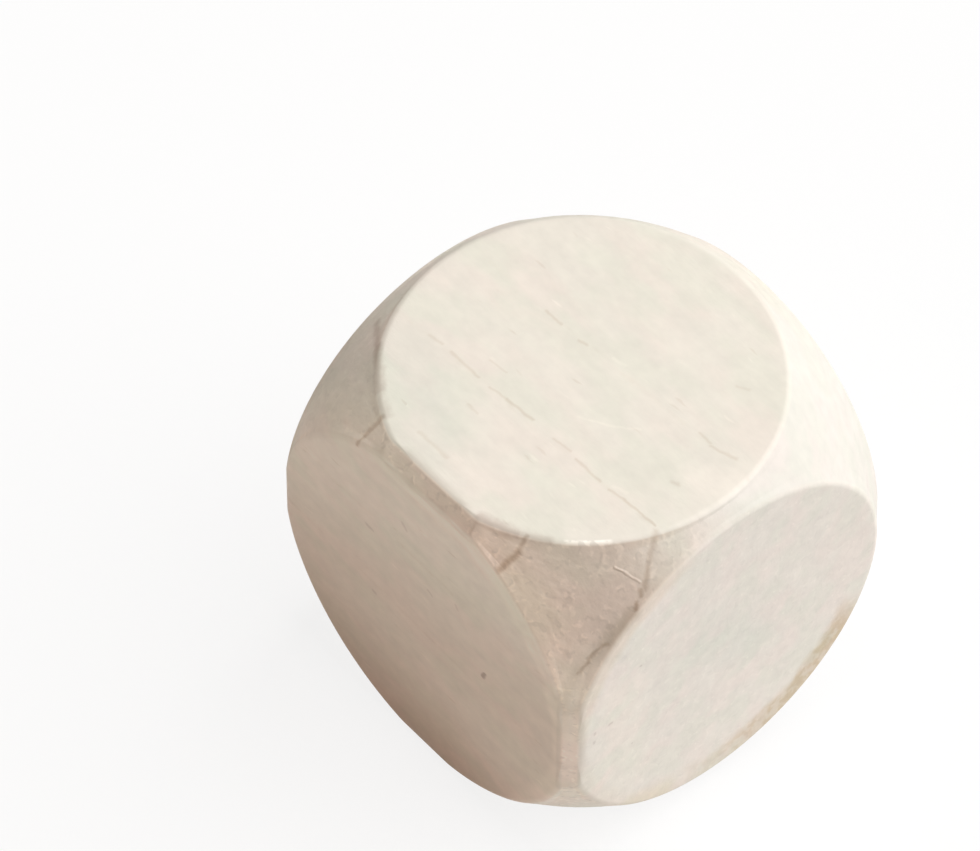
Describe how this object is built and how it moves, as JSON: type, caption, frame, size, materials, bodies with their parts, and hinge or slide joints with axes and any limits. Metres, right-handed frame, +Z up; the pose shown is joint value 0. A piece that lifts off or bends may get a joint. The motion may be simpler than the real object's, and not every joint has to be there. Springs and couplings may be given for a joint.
{
  "type": "wooden cube",
  "caption": "Blank wooden cube with ball-rounded corners and a round flat on every face.",
  "frame": {"origin": "middle of the face that the cube stands on", "axes": "+X to the right along the grain, +Y to the back, +Z up"},
  "size_m": [0.016, 0.016, 0.016],
  "materials": {
    "wood": "bare pale fine-pored hardwood, sanded and unvarnished, with a brown stain along one end-grain rim"
  },
  "bodies": {
    "root": {"wooden_cube": "wood"}
  },
  "joints": []
}
